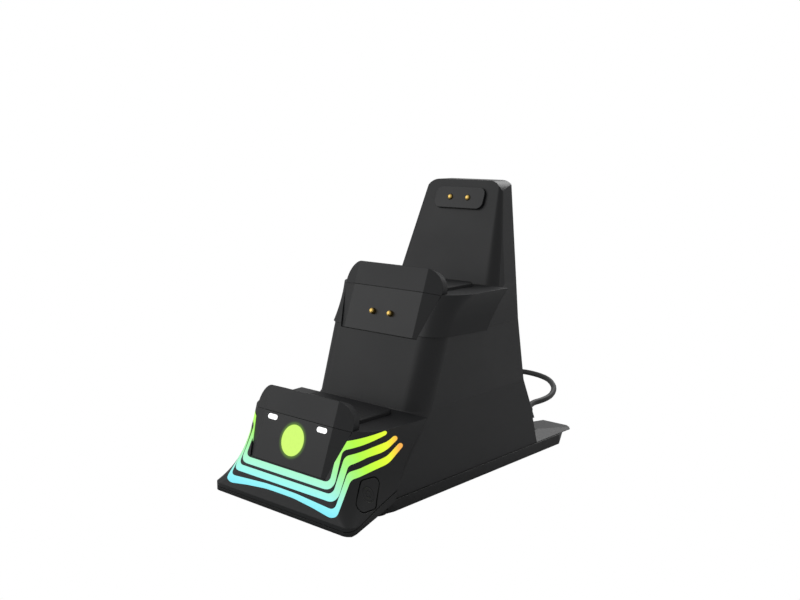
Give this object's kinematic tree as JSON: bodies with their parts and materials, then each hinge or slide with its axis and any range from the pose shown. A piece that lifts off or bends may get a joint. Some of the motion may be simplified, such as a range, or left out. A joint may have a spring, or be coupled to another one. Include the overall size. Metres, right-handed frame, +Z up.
{
  "type": "two-step charging dock for handheld gaming devices",
  "caption": "Black desk charging dock with two leaning steps, a smoked front panel, coloured light strips round the foot, a side mode button and a coiled power cord.",
  "frame": {"origin": "centre of the base on the table, below the middle of the dock without its cord", "axes": "x to the right of someone facing the dock, y from its front to its rear, z up"},
  "size_m": [0.1457, 0.2299, 0.113],
  "materials": {
    "charcoal_abs": "fine moulded texture",
    "smoked_panel": "satin smoked",
    "strip_light": "frosted light guide",
    "mark_light": "frosted light guide",
    "lamp_light": "frosted light guide",
    "white_lamp": "moulded",
    "black_rubber": "smooth",
    "green_board": "solder resist",
    "black_nylon": "moulded",
    "steel": "plated",
    "gold_contact": "plated",
    "cord_black": "satin jacket"
  },
  "bodies": {
    "dock": {"back_wall": "charcoal_abs", "base_screws": "steel", "base_tray": "charcoal_abs", "board_lamps": "white_lamp", "board_parts": "black_nylon", "button_board": "green_board", "contact_block_front": "black_nylon", "contact_block_rear": "black_nylon", "contact_board_front": "green_board", "contact_board_rear": "green_board", "contact_plate_front": "smoked_panel", "contact_plate_rear": "smoked_panel", "cord_boot": "cord_black", "cord_coil": "cord_black", "cord_plug_body": "cord_black", "cord_plug_shell": "steel", "cord_tube": "cord_black", "far_plug_body": "cord_black", "far_plug_shell": "steel", "foot_front_left": "black_rubber", "foot_front_right": "black_rubber", "foot_rear_left": "black_rubber", "foot_rear_right": "black_rubber", "front_cover": "charcoal_abs", "front_lip": "charcoal_abs", "front_panel": "smoked_panel", "light_board": "green_board", "light_strip_bottom": "strip_light", "light_strip_middle": "strip_light", "light_strip_top": "strip_light", "main_board": "green_board", "main_housing": "charcoal_abs", "mark_lens": "mark_light", "pin_barrels_front": "gold_contact", "pin_barrels_rear": "gold_contact", "rear_lip": "charcoal_abs", "rear_seat": "charcoal_abs", "seat_pad_front": "black_rubber", "seat_pad_rear": "black_rubber", "status_lens_left": "lamp_light", "status_lens_right": "lamp_light", "tact_switch": "black_nylon", "usb_inlet": "steel"},
    "mode_button": {"mode_button": "charcoal_abs"},
    "contact_pin_front_left": {"contact_pin_front_left": "gold_contact"},
    "contact_pin_front_right": {"contact_pin_front_right": "gold_contact"},
    "contact_pin_rear_left": {"contact_pin_rear_left": "gold_contact"},
    "contact_pin_rear_right": {"contact_pin_rear_right": "gold_contact"}
  },
  "joints": [
    {"name": "button_press", "type": "slide", "parent": "dock", "child": "mode_button", "axis": [-1, 0, 0], "range_m": [0, 0.0008], "stiffness_N_per_m": 600, "springref_m": -0.0008},
    {"name": "contact_pin_front_left_press", "type": "slide", "parent": "dock", "child": "contact_pin_front_left", "axis": [0, 0.9379, -0.347], "range_m": [0, 0.0009], "stiffness_N_per_m": 300, "springref_m": -0.0015},
    {"name": "contact_pin_front_right_press", "type": "slide", "parent": "dock", "child": "contact_pin_front_right", "axis": [0, 0.9379, -0.347], "range_m": [0, 0.0009], "stiffness_N_per_m": 300, "springref_m": -0.0015},
    {"name": "contact_pin_rear_left_press", "type": "slide", "parent": "dock", "child": "contact_pin_rear_left", "axis": [0, 0.9379, -0.347], "range_m": [0, 0.0009], "stiffness_N_per_m": 300, "springref_m": -0.0015},
    {"name": "contact_pin_rear_right_press", "type": "slide", "parent": "dock", "child": "contact_pin_rear_right", "axis": [0, 0.9379, -0.347], "range_m": [0, 0.0009], "stiffness_N_per_m": 300, "springref_m": -0.0015}
  ]
}
